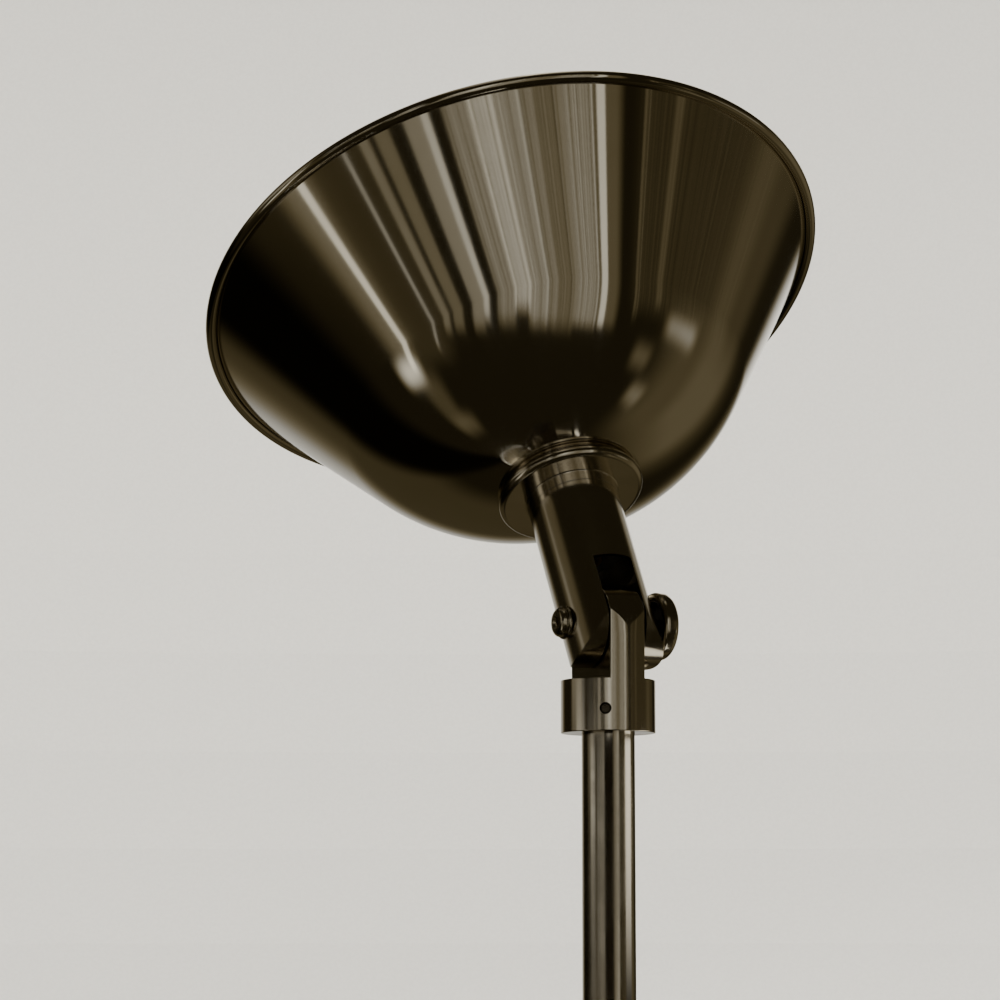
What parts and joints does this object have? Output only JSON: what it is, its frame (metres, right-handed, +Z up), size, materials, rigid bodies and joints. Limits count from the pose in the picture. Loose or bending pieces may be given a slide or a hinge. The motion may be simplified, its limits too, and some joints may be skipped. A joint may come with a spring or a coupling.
{
  "type": "pharmacy floor lamp",
  "caption": "Floor lamp with a tilting spun-metal bowl reflector on a telescopic pole over a weighted round base.",
  "frame": {"origin": "centre of the base's underside, on the floor", "axes": "+Z up the pole; the tilt pivot lies along X with its knob on +X; the head leans back towards +Y at rest and tilts forward over -Y"},
  "size_m": [0.29, 0.3581, 1.6297],
  "materials": {
    "shade_nickel": "spun sheet, nickel plated, polished along the cone's wall",
    "turned_nickel": "turned and polished, nickel plated",
    "pole_nickel": "drawn tube, polished, nickel plated",
    "base_nickel": "spun sheet, nickel plated",
    "screw_steel": "turned, oiled steel",
    "zinc_steel": "zinc plated",
    "contact_brass": "bright",
    "holder_porcelain": "glazed",
    "bulb_frost": "frosted inside",
    "bulb_metal": "rolled",
    "filament_metal": "drawn wire on a glass post",
    "black_fibre": "pressed fibre",
    "black_nylon": "moulded",
    "white_nylon": "turned",
    "iron": "sand cast, painted black",
    "foot_rubber": "moulded"
  },
  "bodies": {
    "base": {"foot_ring": "foot_rubber", "base_weight": "iron", "base_cover": "base_nickel", "base_flange": "turned_nickel", "base_nipple": "zinc_steel", "base_washer": "zinc_steel", "base_nut": "zinc_steel", "tube_plug": "contact_brass", "lower_tube": "pole_nickel", "clamp_collar": "turned_nickel", "collar_screws": "screw_steel", "clamp_pad": "contact_brass", "cord_gland": "black_nylon"},
    "guide": {"guide_bush": "white_nylon"},
    "stem": {"upper_stem": "pole_nickel", "stem_clip": "screw_steel", "wire_bush": "black_nylon", "knuckle": "turned_nickel", "set_screws": "screw_steel"},
    "head": {"shade": "shade_nickel", "shade_ring": "turned_nickel", "fitter_flange": "turned_nickel", "head_tube": "turned_nickel", "holder_plate": "zinc_steel", "holder_nipple": "contact_brass", "holder_nut": "zinc_steel", "lampholder_body": "holder_porcelain", "lampholder_thread": "contact_brass", "centre_contact": "contact_brass", "bulb_cap": "bulb_metal", "bulb_glass": "bulb_frost", "bulb_filament": "filament_metal", "pivot_bolt": "turned_nickel", "pivot_washer": "turned_nickel", "friction_spacers": "black_fibre"},
    "knob": {"tilt_knob": "turned_nickel"},
    "clamp": {"clamp_screw": "turned_nickel"}
  },
  "joints": [
    {"name": "stem_slide", "type": "slide", "parent": "base", "child": "guide", "axis": [0, 0, 1], "range_m": [-0.48, 0.15]},
    {"name": "stem_swivel", "type": "hinge", "parent": "guide", "child": "stem", "pos_m": [0, 0, 0.58], "axis": [0, 0, 1], "range_deg": [-170, 170]},
    {"name": "head_tilt", "type": "hinge", "parent": "stem", "child": "head", "pos_m": [0, 0, 1.4], "axis": [1, 0, 0], "range_deg": [-15, 120]},
    {"name": "tilt_knob_turn", "type": "hinge", "parent": "head", "child": "knob", "pos_m": [0.0237, 0, 1.4], "axis": [1, 0, 0], "range_deg": [0, 720]},
    {"name": "clamp_screw_turn", "type": "hinge", "parent": "base", "child": "clamp", "pos_m": [0.028, 0, 0.764], "axis": [1, 0, 0], "range_deg": [0, 720]}
  ]
}
